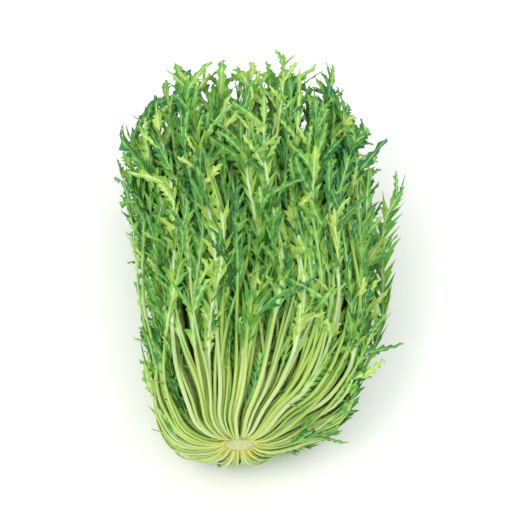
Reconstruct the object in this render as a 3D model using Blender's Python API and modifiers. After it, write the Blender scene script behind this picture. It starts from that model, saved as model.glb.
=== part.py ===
"""A head of mizuna, cut at the root and lying on its side.

About a hundred leaves grow from one short crown. Each has a pale stalk and a blade cut into
pointed lobes. The stalks leave the crown at every angle, the outer ones past square to it, and
then turn forwards, so the head is a bowl at the root and a loose brush at the tips. The floor
presses it flatter. The cut face looks along -Y, and the leaf tips point along +Y.

The leaves stand in rings round the crown. Every leaf follows one shared flow, which is pressed
and bent as a whole, so that neighbours lean together and stay clear of each other. Three or four
neighbours are one shoot: they join in a short sheath at the crown, and each shoot is one object.
"""

import math
import random

import bmesh
import bpy
import mathutils
import numpy as np

# Driving dimensions, in metres
HEAD_REACH = 0.358  # from the cut face to the longest leaf tips
CROWN_RADIUS = 0.0130
CROWN_DEPTH = 0.034
CROWN_HEIGHT = 0.0668  # of the crown's axis above the floor
CLEAR = 0.0004  # gap between pieces that touch on the real head
RINGS = 9
OUTER_RING_LEAVES = 28
CROWDING = 1.5  # how much faster than their width the rings gain leaves
LEAVES_PER_SHOOT = 4

# The flow of the leaves, as angles from the head's axis
START_ANGLE = math.radians(132)  # of the outermost stalks, where they leave the crown
UNDER_ANGLE = math.radians(7)  # more than that on the underside
SPREAD_ANGLE = math.radians(3.2)  # of the outermost leaves, once they have turned
TURN_LENGTH = 0.0505
DRIFT = 0.0175  # how far the head's axis bends sideways
DRIFT_AT = 0.115  # where along the axis it has bent most

# How the head lies: the shares of its round height that are left, and how soon the pressing starts
FLAT_UPPER = 0.63
FLAT_LOWER = 0.54
CORNER_DROP = 0.10  # how far the underside's corners sink, of the distance out from the axis
PRESS_LENGTH = 0.074
FREE_LENGTH = 0.030
SIDE_SHORTENING = 0.26  # how much sooner the leaves at the head's sides end

# Slow waves that bend the whole head: size, and how many radians a metre holds along x, y and z
SWAY_SIZE = np.array([0.0050, 0.0030, 0.0032])
SWAY_WAVES = np.array([[19.0, 31.0, 23.0], [27.0, 17.0, -21.0], [-23.0, 26.0, 15.0]])
SWAY_PHASES = np.array([0.4, 2.1, 4.4])
SWAY_LENGTH = 0.130

# One leaf
STALK_WIDTH = 0.0046
STALK_THICKNESS = 0.0031
BASE_WIDTH = 0.0026
BASE_THICKNESS = 0.0024
BASE_LENGTH = 0.030  # over which the stalk grows to its full size
RIB_WIDTH = 0.0034
RIB_THICKNESS = 0.0021
BLADE_EDGE = 0.0008  # what is left of the blade beside the rib, between two lobes
BLADE_HALF_WIDTH = 0.0108
LOBE_SWEEP = 0.5  # how far a lobe's point leans to the leaf's tip, of the step to the next notch
LOBE_PITCHES = (0.055, 0.055, 0.055, 0.055, 0.048, 0.048, 0.045, 0.0365, 0.0365)  # ring by ring
CURL = 0.8  # most outward curl of the outer leaves' ends, more on the right than on the left
CURL_FROM = 0.72  # where it starts, of the leaf's reach
LEAF_ROLL = math.radians(12)  # of every blade about its rib, so neighbours lie like louvres

# The one leaf that leans out of the head on its right, with its face turned up
STRAY_ANGLE = math.radians(8)
STRAY_REACH = 0.240
STRAY_CURL = 2.6
STRAY_ROLL = math.radians(50)
STRAY_WIDTH = 1.4

FLOOR_DIP = 0.0006  # what the floor flattens off the lowest ribs
EDGE_HEIGHT = 0.0005  # of a lobe's edge that lies on the floor
RING_LIFT = 0.0030  # height that each ring of leaves lying on the floor adds
FLOOR_CUTTER = (0.6, 0.6, 0.02)
SHEATH_THICKNESS = 0.0026
SHEATH_LENGTH = 0.0034
SHEATH_STEP = math.radians(13.0)  # from one of its corners to the next, round the crown
SHEATH_END = 0.05  # how far it runs past the first and the last stalk, in radians

HEART_RINGS = 3  # the young inner rings, which are paler
HEART_GREEN = (0.30, 0.50, 0.10, 1.0)
LEAF_GREEN = (0.13, 0.34, 0.06, 1.0)
CROWN_CREAM = (0.83, 0.80, 0.58, 1.0)


def clear_scene():
    for obj in list(bpy.data.objects):
        bpy.data.objects.remove(obj)


def make_material(name, colour, roughness):
    material = bpy.data.materials.new(name)
    material.use_nodes = True
    shader = material.node_tree.nodes["Principled BSDF"]
    shader.inputs["Base Color"].default_value = colour
    shader.inputs["Roughness"].default_value = roughness
    shader.inputs["Metallic"].default_value = 0.0
    return material


def add_object(name, mesh, collection, material):
    obj = bpy.data.objects.new(name, mesh)
    mesh.materials.clear()
    mesh.materials.append(material)
    collection.objects.link(obj)
    return obj


def new_mesh(name, points, faces):
    mesh = bpy.data.meshes.new(name)
    mesh.from_pydata(points, [], faces)
    mesh.validate()
    return mesh


def ease(share):
    """A smooth step: 0 below 0, 1 above 1."""
    share = np.clip(share, 0.0, 1.0)
    return share * share * (3.0 - 2.0 * share)


def dome(rho, lift=0.0):
    """A ring's place over the crown's dome, as (distance along the axis, distance from it).

    The dome is a quarter of an ellipse, and rho is the share of its length from the top.
    Lift is the height over it, along the dome's own outward direction, which comes second.
    """
    angle = np.linspace(0.0, 0.5 * math.pi, 200)
    along, out = CROWN_DEPTH * np.cos(angle), CROWN_RADIUS * np.sin(angle)
    length = np.concatenate([[0.0], np.cumsum(np.hypot(np.diff(along), np.diff(out)))])
    t = float(np.interp(rho * length[-1], length, angle))
    normal = np.array([math.cos(t) / CROWN_DEPTH, math.sin(t) / CROWN_RADIUS])
    normal /= np.linalg.norm(normal)
    place = np.array([CROWN_DEPTH * math.cos(t), CROWN_RADIUS * math.sin(t)]) + lift * normal
    return place, normal


def press(along, out, phi):
    """Carries (along the axis, out from it, angle round it) of a round head into the lying one.

    The height shrinks towards FLAT_UPPER above the axis and FLAT_LOWER below it. The axis bends
    to one side and comes back. Slow waves, sines of the place itself, move near points alike.
    All of it starts at nothing on the crown's dome.
    """
    free = ease((np.hypot(along, out) - CROWN_DEPTH - 0.003) / FREE_LENGTH)
    upper = 0.5 + 0.5 * np.sin(phi)
    flat = FLAT_LOWER + (FLAT_UPPER - FLAT_LOWER) * upper
    squeeze = 1.0 - (1.0 - flat) * ease(along / PRESS_LENGTH) * free
    bend = np.clip(along, 0.0, None) / DRIFT_AT
    x = out * np.cos(phi) + DRIFT * bend * np.exp(1.0 - bend) * free
    corner = np.where(np.sin(phi) < 0.0, np.sin(2.0 * phi) ** 2, 0.0)
    z = CROWN_HEIGHT + out * (np.sin(phi) * squeeze - CORNER_DROP * corner * free)
    points = np.stack([x, along, z], axis=1)
    ramp = free * ease(along / SWAY_LENGTH)
    return points + ramp[:, None] * SWAY_SIZE * np.sin(points @ SWAY_WAVES.T + SWAY_PHASES)


def flow(leaf, steps=240):
    """The leaf's line in the round head: its angle to the axis falls off exponentially.

    Returns lengths along it, and (along, out) at each, up to the leaf's own reach.
    """
    rho, phi = leaf["rho"], leaf["phi"]
    s = np.linspace(0.0, 1.4 * HEAD_REACH, steps)
    start = (START_ANGLE + UNDER_ANGLE * max(0.0, -math.sin(phi))) * rho
    spread = SPREAD_ANGLE * rho
    theta = spread + (start - spread) * np.exp(-s / TURN_LENGTH)
    late = np.clip(s / leaf["reach"] - CURL_FROM, 0.0, None)
    theta = theta + leaf["curl"] * late * late
    (base_along, base_out), _ = dome(rho, leaf["lift"])
    step = s[1] - s[0]
    along = base_along + np.concatenate([[0.0], np.cumsum(np.cos(theta[1:]) * step)])
    out = base_out + np.concatenate([[0.0], np.cumsum(np.sin(theta[1:]) * step)])
    end = int(np.argmax(along > leaf["reach"])) or steps
    return s[:end], along[:end], out[:end]


def leaf_frame(leaf):
    """The leaf's line in the lying head, with its sideways and outward directions."""
    s, along, out = flow(leaf)
    phi = np.full(len(s), leaf["phi"])
    here = press(along, out, phi)
    beside = press(along, out, phi + 0.02)
    beyond = press(along, out + 0.002, phi)
    tangent = np.gradient(here, axis=0)
    tangent /= np.linalg.norm(tangent, axis=1, keepdims=True)
    side = beside - here if leaf["rho"] > 0.1 else np.cross(beyond - here, tangent)
    side -= tangent * np.sum(side * tangent, axis=1, keepdims=True)
    side /= np.linalg.norm(side, axis=1, keepdims=True)
    outward = np.cross(tangent, side)
    roll = leaf["roll"] * np.clip(s / (0.4 * s[-1]), 0.0, 1.0)[:, None]
    rolled = side * np.cos(roll) + outward * np.sin(roll)
    return s, here, rolled, outward * np.cos(roll) - side * np.sin(roll)


def stalk_rows(leaf, length):
    """Places of the stalk's rows, closest where the flow turns most. A straight stalk has fewer."""
    count = 2 + int(round(5.0 * leaf["rho"]))
    bare, even = leaf["bare"] * length, 1.6 * TURN_LENGTH
    turned = np.arange(count) / count * (1.0 - math.exp(-bare / even))
    return -even * np.log(1.0 - turned)


def leaf_rows(leaf, length):
    """Each row's place, and the lobes on its left and right: 0 between two lobes."""
    blade = (1.0 - leaf["bare"]) * length
    lobes = max(3, int(round(blade / LOBE_PITCHES[leaf["ring"]])))
    stalk = stalk_rows(leaf, length)
    rows = np.linspace(leaf["bare"] * length, length - 0.8 * blade / lobes, 2 * lobes)
    sides = []
    for first in (0, leaf["alternate"]):
        points = (np.arange(2 * lobes) + first) % 2
        sides.append(np.concatenate([np.zeros(len(stalk)), points * leaf["lobes"][: 2 * lobes]]))
    return np.concatenate([stalk, rows]), sides[0], sides[1], len(stalk)


def width_profile(share):
    """How wide the lobes are along the blade: small at its foot, widest past the middle, then less."""
    return 0.28 + 0.72 * np.sin(math.pi * np.clip(share, 0.0, 1.0) ** 0.9) ** 0.8


def leaf_mesh(leaf, name):
    """One leaf as a four-sided loft: stalk, then a blade with its lobes, closed at both ends.

    A row is (left edge, back of the rib, right edge, front of the rib). The stalk is a small
    lozenge. In the blade the edges run out to the lobes, so the rib is thick and the lobes thin.
    The loft's sides are split into triangles alike on both faces, from the rib to the notches.
    """
    s, line, side, outward = leaf_frame(leaf)
    length = s[-1]
    rows, left, right, stalk_count = leaf_rows(leaf, length)
    share = (rows / length - leaf["bare"]) / (1.0 - leaf["bare"])
    on_blade = np.arange(len(rows)) >= stalk_count

    def at(values, places):
        return np.stack([np.interp(places, s, values[:, i]) for i in range(3)], axis=1)

    grow = np.clip(rows / BASE_LENGTH, 0.0, 1.0)
    taper = 1.0 - 0.62 * np.clip(share, 0.0, 1.0)
    stalk_half = 0.5 * (BASE_WIDTH + (STALK_WIDTH - BASE_WIDTH) * grow)
    stalk_thick = BASE_THICKNESS + (STALK_THICKNESS - BASE_THICKNESS) * grow
    rib_half = np.where(on_blade, 0.5 * RIB_WIDTH * taper, stalk_half) * leaf["stout"]
    thick = np.where(on_blade, RIB_THICKNESS * taper, stalk_thick) * leaf["stout"]
    blade_half = leaf["width"] * BLADE_HALF_WIDTH * width_profile(share)
    floor = (RINGS - 1 - leaf["ring"]) * RING_LIFT
    edges = []
    for sign, lobe in ((-1.0, left), (1.0, right)):
        reach = np.where(on_blade, rib_half + BLADE_EDGE + lobe * blade_half, rib_half)
        sweep = np.where(lobe > 0.0, LOBE_SWEEP * (rows[-1] - rows[-2]), 0.0)
        places = np.minimum(rows + sweep, length - 0.001)
        lift = np.where(on_blade, leaf["fold"] * lobe * blade_half, 0.0)
        edge = at(line, places) + sign * reach[:, None] * at(side, places)
        edge += lift[:, None] * at(outward, places)
        edge[:, 2] = np.maximum(edge[:, 2], floor + EDGE_HEIGHT)
        edges.append(edge)
    centre = at(line, rows)
    centre[:, 2] = np.maximum(centre[:, 2], floor + 0.5 * thick - FLOOR_DIP)
    half_thick = 0.5 * thick[:, None] * at(outward, rows)
    tip = at(line, np.array([length]))
    tip[:, 2] = np.maximum(tip[:, 2], floor + EDGE_HEIGHT)

    grid = np.stack([edges[0], centre - half_thick, edges[1], centre + half_thick], axis=1)
    points = np.concatenate([grid.reshape(-1, 3), tip])
    faces = [(0, 2, 1), (0, 3, 2)]
    for row in range(len(rows) - 1):
        a, b = 4 * row, 4 * row + 4
        for edge, rib, lobe in ((0, 1, left), (0, 3, left), (2, 1, right), (2, 3, right)):
            if lobe[row] > lobe[row + 1]:
                pair = [(a + rib, a + edge, b + edge), (a + rib, b + edge, b + rib)]
            else:
                pair = [(a + rib, a + edge, b + rib), (a + edge, b + edge, b + rib)]
            outside_first = (edge == 0) != (rib == 1)
            faces += [triangle if outside_first else triangle[::-1] for triangle in pair]
    last = 4 * (len(rows) - 1)
    faces += [(last + i, last + (i + 1) % 4, len(points) - 1) for i in range(4)]
    return new_mesh(name, points.tolist(), faces)


def sheath_mesh(leaves, name):
    """The arc that joins a shoot's stalks at the crown: a four-sided tube round part of the ring."""
    first, last = leaves[0]["phi"], leaves[-1]["phi"]
    steps = 1 + math.ceil((last - first) / SHEATH_STEP)
    place, normal = dome(leaves[0]["rho"], leaves[0]["lift"])
    across = np.array([-normal[1], normal[0]])
    corners = [
        place + 0.5 * i * SHEATH_LENGTH * across + 0.5 * j * SHEATH_THICKNESS * normal
        for i, j in ((-1, -1), (1, -1), (1, 1), (-1, 1))
    ]
    points = [
        (out * math.cos(phi), along, CROWN_HEIGHT + out * math.sin(phi))
        for phi in np.linspace(first - SHEATH_END, last + SHEATH_END, steps + 1)
        for along, out in corners
    ]
    faces = [(3, 2, 1, 0), tuple(4 * steps + i for i in range(4))]
    for k in range(steps):
        for i in range(4):
            j = (i + 1) % 4
            faces.append((4 * k + i, 4 * k + j, 4 * k + 4 + i))
            faces.append((4 * k + j, 4 * k + 4 + j, 4 * k + 4 + i))
    return new_mesh(name, points, faces)


def plan_leaves():
    """Every leaf's place and habit, ring by ring from the heart out, with seeded draws."""
    draw = random.Random(60)
    rings = []
    for ring in range(RINGS):
        rho = (ring + 0.5) / RINGS
        share = rho * RINGS / (RINGS - 0.5)
        count = max(1, round(OUTER_RING_LEAVES * share**CROWDING))
        offset = draw.uniform(0.0, 2.0 * math.pi)
        leaves = []
        for n in range(count):
            phi = offset + 2.0 * math.pi * n / count
            envelope = HEAD_REACH * (1.0 - SIDE_SHORTENING * abs(rho * math.cos(phi)) ** 3)
            short = draw.random() ** 2 * (0.12 + 0.40 * rho**2)
            leaves.append(
                {
                    "ring": ring,
                    "rho": rho,
                    "phi": phi,
                    "lift": CLEAR + (0.5 * SHEATH_THICKNESS if count > 1 else 0.0),
                    "reach": envelope * (1.0 - short) - 0.006,
                    "curl": draw.uniform(0.0, 1.0) * CURL * (1.0 + math.cos(phi)) * rho**3,
                    "roll": LEAF_ROLL + math.radians(draw.uniform(-5.0, 5.0)),
                    "fold": draw.uniform(0.02, 0.15),
                    "bare": draw.uniform(0.31, 0.40),
                    "lobes": [draw.uniform(0.55, 1.0) for _ in range(24)],
                    "width": draw.uniform(0.82, 1.0),
                    "stout": draw.uniform(0.9, 1.08),
                    "alternate": draw.choice([0, 1]),
                }
            )
        rings.append(leaves)
    aside = [abs(math.remainder(leaf["phi"] - STRAY_ANGLE, 2.0 * math.pi)) for leaf in rings[-1]]
    stray = rings[-1][aside.index(min(aside))]
    stray.update(reach=STRAY_REACH, curl=STRAY_CURL, roll=STRAY_ROLL, width=STRAY_WIDTH)
    return rings


def join(target, others):
    """Fuses the objects of a collection into target with one Boolean union, then removes them."""
    union = target.modifiers.new("union", "BOOLEAN")
    union.operation = "UNION"
    union.operand_type = "COLLECTION"
    union.collection = others
    union.solver = "EXACT"
    graph = bpy.context.evaluated_depsgraph_get()
    joined = bpy.data.meshes.new_from_object(target.evaluated_get(graph))
    target.modifiers.clear()
    target.data = joined
    for obj in list(others.objects):
        bpy.data.objects.remove(obj)


def build_crown(collection, material):
    """The stump: a flat cut face, and a dome that the leaves stand round. A profile turned about Y."""
    steps = 8
    profile = []
    for k in range(steps + 1):
        (along, out), _ = dome(k / steps)
        profile.append((out, along, 0.0))
    profile.append((CROWN_RADIUS, -0.0005, 0.0))
    profile.append((0.0, -0.0005, 0.0))
    mesh = bpy.data.meshes.new("crown")
    mesh.from_pydata(profile, [(k, k + 1) for k in range(len(profile) - 1)], [])
    crown = add_object("crown", mesh, collection, material)
    crown.location = (0.0, 0.0, CROWN_HEIGHT)
    turn = crown.modifiers.new("turn", "SCREW")
    turn.axis = "Y"
    turn.steps = turn.render_steps = 20
    turn.use_merge_vertices = True
    turn.merge_threshold = 0.00001
    return crown


def build_shoot(name, leaves, collection, material):
    """Three or four neighbouring leaves, fused to one sheath. A ring of one leaf has no sheath."""
    if len(leaves) == 1:
        return add_object(name, leaf_mesh(leaves[0], name), collection, material)
    loose = bpy.data.collections.new(name + "_leaves")
    bpy.context.scene.collection.children.link(loose)
    for k, leaf in enumerate(leaves):
        leaf_name = f"{name}_leaf{k + 1}"
        add_object(leaf_name, leaf_mesh(leaf, leaf_name), loose, material)
    shoot = add_object(name, sheath_mesh(leaves, name), collection, material)
    join(shoot, loose)
    bpy.data.collections.remove(loose)
    return shoot


def make_floor_cutter(collection):
    mesh = bpy.data.meshes.new("floor_cutter")
    shape = bmesh.new()
    bmesh.ops.create_cube(shape, size=1.0)
    shape.to_mesh(mesh)
    shape.free()
    floor = bpy.data.objects.new("floor_cutter", mesh)
    floor.scale = FLOOR_CUTTER
    floor.location = (0.0, 0.0, -0.5 * FLOOR_CUTTER[2])
    floor.hide_render = True
    floor.display_type = "WIRE"
    collection.objects.link(floor)
    return floor


def stand_on_floor(nodes, floor):
    """Centres the head over the origin, and cuts off flat what dips below the floor."""
    graph = bpy.context.evaluated_depsgraph_get()
    corners = []
    for obj in nodes:
        world = obj.evaluated_get(graph).matrix_world
        corners += [world @ mathutils.Vector(corner) for corner in obj.bound_box]
    centre = [0.5 * (min(c[axis] for c in corners) + max(c[axis] for c in corners)) for axis in (0, 1)]
    for obj in nodes:
        lowest = min((obj.matrix_world @ mathutils.Vector(corner)).z for corner in obj.bound_box)
        obj.location.x -= centre[0]
        obj.location.y -= centre[1]
        if lowest < 0.0:
            flat = obj.modifiers.new("flat", "BOOLEAN")
            flat.operation = "DIFFERENCE"
            flat.solver = "EXACT"
            flat.object = floor


def main():
    clear_scene()
    head = bpy.data.collections.new("mizuna_head")
    cutters = bpy.data.collections.new("cutters")
    for collection in (head, cutters):
        bpy.context.scene.collection.children.link(collection)
    crown_cream = make_material("crown_cream", CROWN_CREAM, 0.7)
    heart_green = make_material("heart_green", HEART_GREEN, 0.5)
    leaf_green = make_material("leaf_green", LEAF_GREEN, 0.5)
    nodes = [build_crown(head, crown_cream)]
    for ring, leaves in enumerate(plan_leaves()):
        green = heart_green if ring < HEART_RINGS else leaf_green
        shoots = math.ceil(len(leaves) / LEAVES_PER_SHOOT)
        bounds = [round(k * len(leaves) / shoots) for k in range(shoots + 1)]
        for k in range(shoots):
            name = f"ring{ring + 1}_shoot{k + 1}"
            nodes.append(build_shoot(name, leaves[bounds[k] : bounds[k + 1]], head, green))
    bpy.context.view_layer.update()
    stand_on_floor(nodes, make_floor_cutter(cutters))


main()
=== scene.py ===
# %% [markdown]
# # A head of mizuna, cut at the root and lying on its side
# Mizuna is a salad green. One head is a short pale crown with well over a hundred feathery leaves,
# each a long stalk that runs on as the white midrib of a deeply cut blade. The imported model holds
# the crown and the leaves in plain form. This script keeps their places and gives each a fine
# surface, adds the many thinner leaves that grow between them, and paints everything by nodes.

# %% Load the frame
import math
import random

import bpy
import numpy as np
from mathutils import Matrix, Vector


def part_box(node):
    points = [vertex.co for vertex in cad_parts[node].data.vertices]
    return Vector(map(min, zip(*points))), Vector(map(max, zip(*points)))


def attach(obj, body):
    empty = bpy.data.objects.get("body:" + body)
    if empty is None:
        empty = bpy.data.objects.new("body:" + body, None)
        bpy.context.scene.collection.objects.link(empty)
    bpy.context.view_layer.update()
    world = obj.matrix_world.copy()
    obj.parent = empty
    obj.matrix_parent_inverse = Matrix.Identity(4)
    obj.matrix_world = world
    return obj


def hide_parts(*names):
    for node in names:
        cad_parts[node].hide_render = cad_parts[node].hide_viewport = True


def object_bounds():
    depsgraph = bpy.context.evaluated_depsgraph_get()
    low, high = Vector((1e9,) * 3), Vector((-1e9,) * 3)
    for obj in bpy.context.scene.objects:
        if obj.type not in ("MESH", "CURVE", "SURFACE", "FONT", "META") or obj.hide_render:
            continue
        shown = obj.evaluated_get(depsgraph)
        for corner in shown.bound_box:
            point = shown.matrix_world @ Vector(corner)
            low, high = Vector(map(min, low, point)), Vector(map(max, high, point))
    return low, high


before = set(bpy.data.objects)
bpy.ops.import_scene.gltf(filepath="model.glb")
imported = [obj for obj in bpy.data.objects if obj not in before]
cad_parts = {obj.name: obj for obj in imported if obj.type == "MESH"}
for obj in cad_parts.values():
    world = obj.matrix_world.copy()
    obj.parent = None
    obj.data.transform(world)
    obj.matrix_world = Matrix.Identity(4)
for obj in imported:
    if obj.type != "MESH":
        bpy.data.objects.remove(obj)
cad_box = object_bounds()
crown_low, crown_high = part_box("crown")
print("model box, mm:", [[round(1000 * v, 1) for v in corner] for corner in cad_box])

# %% [markdown]
# ## Where the crown is
# Every leaf starts on the crown and is worked out from the crown's own axis, which runs along +Y.
# Two boxes are read from the model: the crown's, so that the leaves follow it if it is moved, and
# the whole head's, so that they end near its sides.

# %% The crown's place
CROWN_RADIUS = 0.0130
CROWN_DEPTH = 0.034
CROWN_HEIGHT = 0.0668
CUT_FACE_STEP = 0.0005
crown_foot = np.array([0.5 * (crown_low.x + crown_high.x), crown_low.y + CUT_FACE_STEP, 0.0])
print("crown's cut face, mm:", (1000 * crown_foot).round(1))

# %% [markdown]
# ## Camera
# The picture looks at the head from the crown's side and from well above. A long lens far away
# keeps the head's two ends at nearly one scale, as the picture does. The place that the lens looks
# at is given from the crown: so far to the right, and so far up the picture.

# %% Camera
CAMERA_ELEVATION = math.radians(62.5)
CAMERA_DISTANCE = 2.6
PICTURE_WIDTH = 0.4295  # of the scene, in metres, at the head
AIM_RIGHT = 0.0154
AIM_UP = 0.1564
SENSOR_WIDTH = 36.0

look = Vector((0.0, math.cos(CAMERA_ELEVATION), -math.sin(CAMERA_ELEVATION)))
picture_up = Vector((0.0, math.sin(CAMERA_ELEVATION), math.cos(CAMERA_ELEVATION)))
aim = Vector((crown_foot[0] + AIM_RIGHT, crown_foot[1], CROWN_HEIGHT)) + AIM_UP * picture_up
camera_data = bpy.data.cameras.new("camera")
camera_data.sensor_width = SENSOR_WIDTH
camera_data.lens = SENSOR_WIDTH * CAMERA_DISTANCE / PICTURE_WIDTH
camera = bpy.data.objects.new("camera", camera_data)
camera.location = aim - CAMERA_DISTANCE * look
camera.rotation_euler = (0.5 * math.pi - CAMERA_ELEVATION, 0.0, 0.0)
bpy.context.scene.collection.objects.link(camera)
bpy.context.scene.camera = camera
print("lens, mm:", round(camera_data.lens, 1))

# %% [markdown]
# ## Colours
# Colours are easiest to name as they look on a screen, from 0 to 255. Shaders want linear light,
# so one function turns the first into the second.

# %% Screen colours to linear light


def screen(red, green, blue):
    """A screen colour as linear light: a straight foot, then a power of 2.4."""
    values = []
    for level in (red / 255, green / 255, blue / 255):
        values.append(level / 12.92 if level <= 0.04045 else ((level + 0.055) / 1.055) ** 2.4)
    return (*values, 1.0)


# %% [markdown]
# ## A small language for shaders
# Adding nodes by hand takes many lines and hides the sums they do. Here one class wraps a socket,
# so that `1 - mask * 0.5` adds the Math nodes for it. Any other node comes from one method, which
# takes the node's type, its settings and what goes into its sockets.

# %% Shader sockets with arithmetic


class Wire:
    """An output socket of a material's node. Sums with it add Math nodes."""

    def __init__(self, paint, socket):
        self.paint, self.socket = paint, socket

    def maths(self, operation, *values, clamp=False):
        settings = {"operation": operation, "use_clamp": clamp}
        return self.paint.node("ShaderNodeMath", settings, dict(enumerate(values)))

    def __add__(self, other):
        return self.maths("ADD", self, other)

    def __sub__(self, other):
        return self.maths("SUBTRACT", self, other)

    def __rsub__(self, other):
        return self.maths("SUBTRACT", other, self)

    def __mul__(self, other):
        return self.maths("MULTIPLY", self, other)

    def __pow__(self, other):
        return self.maths("POWER", self, other)

    __radd__, __rmul__ = __add__, __mul__

    def clamp(self):
        return self.maths("ADD", self, 0.0, clamp=True)

    def step(self, low, high):
        """0 below low, 1 above high, and an even rise between them; low may be the larger one."""
        return self.maths("MULTIPLY", self - low, 1.0 / (high - low), clamp=True)


class Paint:
    """A material with a Principled shader, whose nodes are added by calls and sums."""

    def __init__(self, name, **constants):
        self.material = bpy.data.materials.new(name)
        self.material.use_nodes = True
        self.tree = self.material.node_tree
        self.shader = self.tree.nodes["Principled BSDF"]
        for socket, value in constants.items():
            self.shader.inputs[socket.replace("_", " ")].default_value = value

    def node(self, kind, settings=None, values=None, output=0):
        """A node of that type. Settings come first, then sockets by name or number."""
        node = self.tree.nodes.new(kind)
        for name, value in (settings or {}).items():
            if name == "stops":
                ramp = node.color_ramp
                for k, (place, colour) in enumerate(value):
                    stop = ramp.elements[k] if k < 2 else ramp.elements.new(place)
                    stop.position, stop.color = place, colour
            else:
                setattr(node, name, value)
        for name, value in (values or {}).items():
            self.feed(node.inputs[name], value)
        return Wire(self, node.outputs[output])

    def feed(self, socket, value):
        if isinstance(value, Wire):
            self.tree.links.new(value.socket, socket)
        else:
            socket.default_value = value

    def attribute(self, name):
        return self.node("ShaderNodeAttribute", {"attribute_name": name}, output="Fac")

    def mix(self, first, second, factor):
        """A colour between two others. A Mix node's colour sockets are its numbers 6 and 7."""
        return self.node("ShaderNodeMix", {"data_type": "RGBA"}, {0: factor, 6: first, 7: second}, 2)

    def noise(self, place, scale, detail=2.0, roughness=0.5):
        values = {"Vector": place, "Scale": scale, "Detail": detail, "Roughness": roughness}
        return self.node("ShaderNodeTexNoise", None, values, "Fac")

    def stretched(self, place, along, across):
        """The leaf's own map with its two directions scaled apart, for streaks that follow it."""
        settings = {"operation": "MULTIPLY"}
        return self.node("ShaderNodeVectorMath", settings, {0: place, 1: (across, along, 1.0)})

    def finish(self, colour, roughness, height, bump, distance):
        self.feed(self.shader.inputs["Base Color"], colour)
        self.feed(self.shader.inputs["Roughness"], roughness)
        values = {"Height": height, "Strength": bump, "Distance": distance}
        self.feed(self.shader.inputs["Normal"], self.node("ShaderNodeBump", None, values))
        return self.material


# %% [markdown]
# ## The leaf's paint
# A mizuna leaf changes along its length: yellow where it leaves the crown, then a pale stalk, green
# at its sides and bluish white where light catches it, and last a green blade with a whitish
# midrib. All of it is one living sheet, so it is one material. The mesh carries what it needs: how
# far a point is from stalk to blade, from rib to edge, from a lobe's middle to its notch, and a
# tone that each leaf has to itself. The tone is made lower for leaves that start nearer the crown's
# axis and so lie deeper inside the head; that darker, greener colour is painted shade for the gaps.

# %% The leaf's colours
RIB_SHARE = 0.30  # of the way from the rib's middle to the edge, where the rib ends on the map
STALK_YELLOW = screen(202, 212, 112)
STALK_WHITE = screen(187, 207, 167)
STALK_GREEN = screen(130, 182, 72)
STREAK_YELLOW = screen(204, 200, 74)
BASE_YELLOW = screen(220, 208, 88)
VEIN_GREEN = screen(150, 196, 96)
RIB_WHITE = screen(214, 236, 206)
RIB_GREEN = screen(158, 200, 112)
BLADE_GREENS = {  # deep, middle and bright
    "leaf_green": (screen(34, 116, 58), screen(94, 164, 52), screen(172, 202, 78)),
    "heart_green": (screen(62, 132, 44), screen(128, 184, 58), screen(194, 214, 84)),
}
print("blade colours:", list(BLADE_GREENS))

# %% Leaf paint


def leaf_paint(name, deep, middle, bright):
    """Stalk and blade in one material. Deep, middle and bright are the blade's three greens."""
    paint = Paint(name, Specular_IOR_Level=0.45, Coat_Roughness=0.25)
    blade, across = paint.attribute("blade"), paint.attribute("across")
    lobe, tone = paint.attribute("lobe"), paint.attribute("tone")
    along, inner = paint.attribute("along"), paint.attribute("inner")
    own_map = paint.node("ShaderNodeUVMap", {"uv_map": "leaf"})
    place = paint.node("ShaderNodeTexCoord", output="Object")

    streaks = paint.noise(paint.stretched(own_map, 1.4, 0.8), 3.0, detail=3.0)
    fine_streaks = paint.noise(paint.stretched(own_map, 0.5, 1.5), 3.0)
    patches = paint.noise(place, 55.0, detail=3.0, roughness=0.6)
    specks = paint.noise(place, 190.0, detail=3.0)
    cells = paint.noise(place, 420.0)

    stalk = paint.mix(STALK_YELLOW, STALK_WHITE, (streaks * 1.8 + tone * 1.0 - 1.15).clamp())
    greener = (across ** 2.0) * 0.6 + fine_streaks * 2.6 - tone * 0.9 - 0.68
    stalk = paint.mix(stalk, STALK_GREEN, greener.clamp())
    stalk = paint.mix(stalk, middle, along.step(0.14, 0.42) * 0.40)
    stalk = paint.mix(stalk, STREAK_YELLOW, streaks.step(0.58, 0.70) * 0.5)
    stalk = paint.mix(stalk, BASE_YELLOW, along.step(0.05, 0.0) * 0.6)

    shade = patches * 1.2 + specks * 0.9 + tone * 0.85 + streaks * 0.25
    shade = (shade - across * 0.26 - inner * 0.22 - 0.90 + along.step(0.66, 0.36) * 0.14).clamp()
    stops = [(0.0, deep), (1.0, bright), (0.48, middle)]
    green = paint.node("ShaderNodeValToRGB", {"stops": stops}, {"Fac": shade})
    vein = (lobe.step(0.34, 0.06) * across.step(1.05, 0.2)).clamp()
    green = paint.mix(green, VEIN_GREEN, vein * 0.5)
    rib = across.step(RIB_SHARE * 1.35, RIB_SHARE * 0.75)
    rib_colour = paint.mix(RIB_GREEN, RIB_WHITE, (tone * 1.8 + streaks - 0.95).clamp())
    green = paint.mix(green, rib_colour, rib * 0.9)

    colour = paint.mix(stalk, green, blade)
    roughness = 0.44 + 0.16 * cells + blade * 0.06 - inner * blade * 0.10
    height = fine_streaks * (1.0 - blade) * 0.6 + (cells * 0.35 - vein * 0.9 + patches * 0.6) * blade
    return paint.finish(colour, roughness, height, 0.35, 0.0006)


leaf_paints = {name: leaf_paint(name, *greens) for name, greens in BLADE_GREENS.items()}
print("leaf paints, and their nodes:", {k: len(m.node_tree.nodes) for k, m in leaf_paints.items()})

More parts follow.
